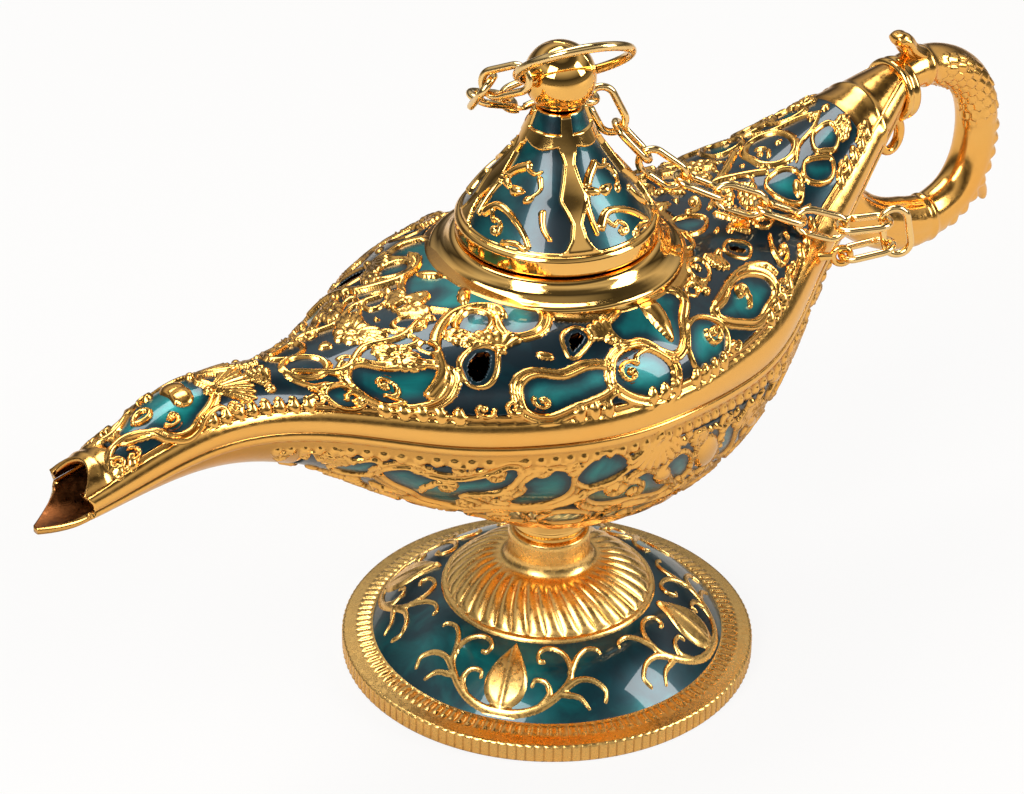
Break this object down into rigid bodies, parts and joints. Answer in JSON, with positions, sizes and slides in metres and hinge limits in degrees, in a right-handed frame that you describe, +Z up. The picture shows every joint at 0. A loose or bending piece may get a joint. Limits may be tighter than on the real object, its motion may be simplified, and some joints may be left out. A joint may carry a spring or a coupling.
{
  "type": "genie oil lamp",
  "caption": "Long-spouted oil lamp on a round foot, with a looped handle, a conical lid held by a chain, and enamel set in cast gold-coloured metal.",
  "frame": {"origin": "centre of the underside of the foot", "axes": "+Z up, +X towards the handle, the spout points along -X"},
  "size_m": [0.2193, 0.077, 0.1316],
  "materials": {
    "gold": "polished gold-coloured plating",
    "foot_gold": "satin gold-coloured plating",
    "wire": "polished wire",
    "enamel": "glossy translucent blue-green resin enamel"
  },
  "bodies": {
    "lamp": {"foot": "foot_gold", "foot_enamel": "enamel", "lower_shell": "gold", "lower_enamel": "enamel", "upper_shell": "gold", "upper_enamel": "enamel", "handle": "gold"},
    "lid": {"lid": "gold", "lid_enamel": "enamel", "finial_ball": "gold", "lid_link_02": "wire", "lid_link_03": "wire"},
    "lid_ring": {"lid_ring": "wire", "lid_link_01": "wire"},
    "chain_link_01": {"chain_link_01": "wire"},
    "chain_link_02": {"chain_link_02": "wire"},
    "chain_link_03": {"chain_link_03": "wire"},
    "chain_link_04": {"chain_link_04": "wire"},
    "chain_link_05": {"chain_link_05": "wire"},
    "chain_link_06": {"chain_link_06": "wire"},
    "chain_link_07": {"chain_link_07": "wire"},
    "chain_link_08": {"chain_link_08": "wire"},
    "chain_link_09": {"chain_link_09": "wire"},
    "chain_link_10": {"chain_link_10": "wire"},
    "chain_link_11": {"chain_link_11": "wire"},
    "chain_link_12": {"chain_link_12": "wire"}
  },
  "joints": [
    {"name": "lid_lift", "type": "slide", "parent": "lamp", "child": "lid", "axis": [0, 0, 1], "range_m": [0, 0.01]},
    {"name": "chain_link_01_turn", "type": "hinge", "parent": "lamp", "child": "chain_link_01", "pos_m": [0.04906, -0.02213, 0.0763], "axis": [-0.5446, -0.8387, 0], "range_deg": [0, 18.57]},
    {"name": "chain_link_02_turn", "type": "hinge", "parent": "chain_link_01", "child": "chain_link_02", "pos_m": [0.05756, -0.02765, 0.07864], "axis": [-0.5446, -0.8387, 0], "range_deg": [-12.03, 0]},
    {"name": "chain_link_03_turn", "type": "hinge", "parent": "chain_link_02", "child": "chain_link_03", "pos_m": [0.05688, -0.02721, 0.08327], "axis": [-0.5446, -0.8387, 0], "range_deg": [-26.12, 0]},
    {"name": "chain_link_04_turn", "type": "hinge", "parent": "chain_link_03", "child": "chain_link_04", "pos_m": [0.04743, -0.02107, 0.08228], "axis": [-0.5446, -0.8387, 0], "range_deg": [0, 7.22]},
    {"name": "chain_link_05_turn", "type": "hinge", "parent": "chain_link_04", "child": "chain_link_05", "pos_m": [0.04367, -0.01863, 0.08366], "axis": [-0.5446, -0.8387, 0], "range_deg": [0, 6.8]},
    {"name": "chain_link_06_turn", "type": "hinge", "parent": "chain_link_05", "child": "chain_link_06", "pos_m": [0.03482, -0.01288, 0.08771], "axis": [-0.5446, -0.8387, 0], "range_deg": [-6.06, 0]},
    {"name": "chain_link_07_turn", "type": "hinge", "parent": "chain_link_06", "child": "chain_link_07", "pos_m": [0.03111, -0.01048, 0.08931], "axis": [-0.5446, -0.8387, 0], "range_deg": [0, 5.73]},
    {"name": "chain_link_08_turn", "type": "hinge", "parent": "chain_link_07", "child": "chain_link_08", "pos_m": [0.02252, -0.0049, 0.09409], "axis": [-0.5446, -0.8387, 0], "range_deg": [0, 9.39]},
    {"name": "chain_link_09_turn", "type": "hinge", "parent": "chain_link_08", "child": "chain_link_09", "pos_m": [0.01942, -0.00288, 0.09698], "axis": [-0.5446, -0.8387, 0], "range_deg": [-6.91, 0]},
    {"name": "chain_link_10_turn", "type": "hinge", "parent": "chain_link_09", "child": "chain_link_10", "pos_m": [0.0132, 0.00116, 0.10551], "axis": [-0.5446, -0.8387, 0], "range_deg": [0, 13.13]},
    {"name": "chain_link_11_turn", "type": "hinge", "parent": "chain_link_10", "child": "chain_link_11", "pos_m": [0.01147, 0.00228, 0.10974], "axis": [-0.5446, -0.8387, 0], "range_deg": [-4.7, 0]},
    {"name": "chain_link_12_turn", "type": "hinge", "parent": "chain_link_11", "child": "chain_link_12", "pos_m": [0.00228, 0.00825, 0.11247], "axis": [-0.5446, -0.8387, 0], "range_deg": [-7.54, 0]},
    {"name": "lid_ring_swing", "type": "hinge", "parent": "lid", "child": "lid_ring", "pos_m": [0, 0, 0.1186], "axis": [0.9455, -0.3256, 0], "range_deg": [0, 30]}
  ],
  "couplings": [
    {"joint": "chain_link_01_turn", "follows": "lid_lift", "rad_per_m": 31.538},
    {"joint": "chain_link_02_turn", "follows": "lid_lift", "rad_per_m": -20.124},
    {"joint": "chain_link_03_turn", "follows": "lid_lift", "rad_per_m": -44.715},
    {"joint": "chain_link_04_turn", "follows": "lid_lift", "rad_per_m": 11.729},
    {"joint": "chain_link_05_turn", "follows": "lid_lift", "rad_per_m": 10.996},
    {"joint": "chain_link_06_turn", "follows": "lid_lift", "rad_per_m": -9.704},
    {"joint": "chain_link_07_turn", "follows": "lid_lift", "rad_per_m": 9.1281},
    {"joint": "chain_link_08_turn", "follows": "lid_lift", "rad_per_m": 15.516},
    {"joint": "chain_link_09_turn", "follows": "lid_lift", "rad_per_m": -11.188},
    {"joint": "chain_link_10_turn", "follows": "lid_lift", "rad_per_m": 22.044},
    {"joint": "chain_link_11_turn", "follows": "lid_lift", "rad_per_m": -7.3304},
    {"joint": "chain_link_12_turn", "follows": "lid_lift", "rad_per_m": -12.287}
  ]
}
